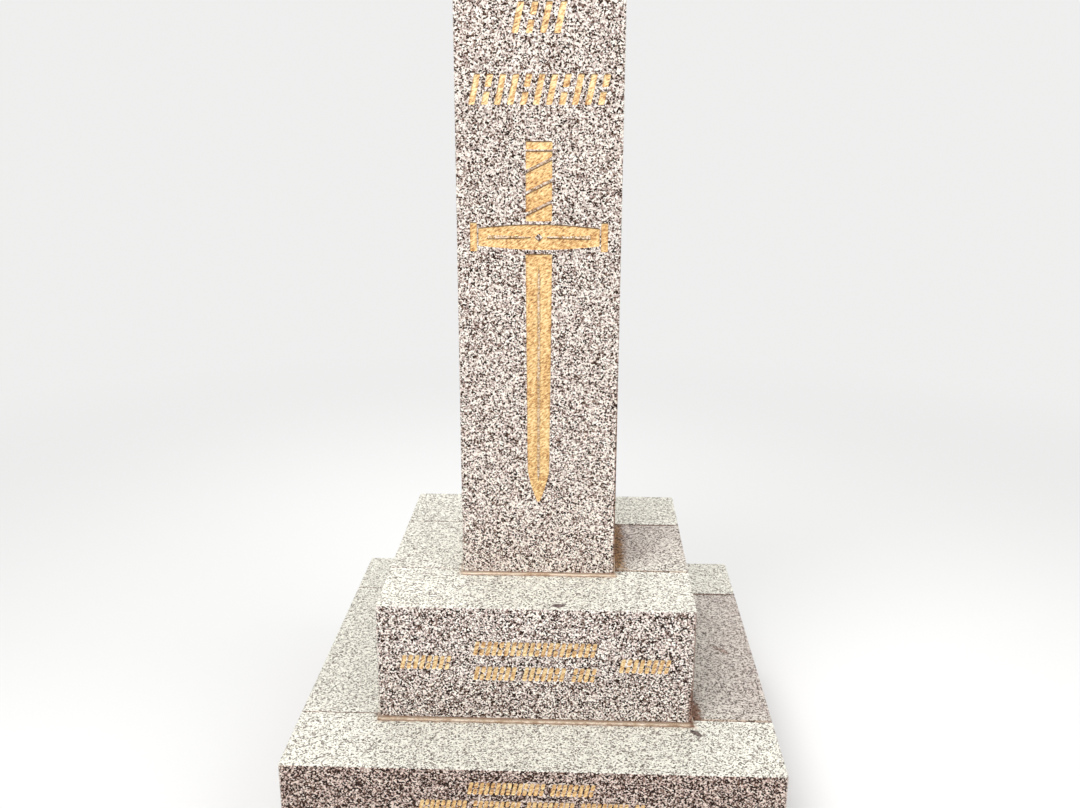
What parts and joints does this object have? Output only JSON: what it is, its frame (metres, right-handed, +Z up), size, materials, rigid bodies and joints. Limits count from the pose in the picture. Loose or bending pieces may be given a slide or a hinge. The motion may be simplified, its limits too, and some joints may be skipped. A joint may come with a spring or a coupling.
{
  "type": "memorial pillar",
  "caption": "Square granite shaft with a carved, gilded sword and stroke rows, bedded in mortar on two square stepped courses of sawn granite.",
  "frame": {"origin": "centre of the underside of the lower course, at ground level", "axes": "+Z up along the pillar, the carved front faces -Y, +X to the right as seen from the front"},
  "size_m": [0.912, 0.912, 1.796],
  "materials": {
    "granite": "fine sawn and honed salt-and-pepper granite, duller and paler on the weathered tops",
    "mortar": "matt buff cement mortar, slightly sandy",
    "gold_paint": "flat gold paint on the rough floors of the carving"
  },
  "bodies": {
    "root": {"lower_front_stone": "granite", "lower_back_stone": "granite", "lower_left_stone": "granite", "lower_right_stone": "granite", "lower_joints": "mortar", "upper_mortar_bed": "mortar", "upper_front_stone": "granite", "upper_back_stone": "granite", "upper_left_stone": "granite", "upper_right_stone": "granite", "upper_joints": "mortar", "pillar_mortar_bed": "mortar", "pillar": "granite"}
  },
  "joints": []
}
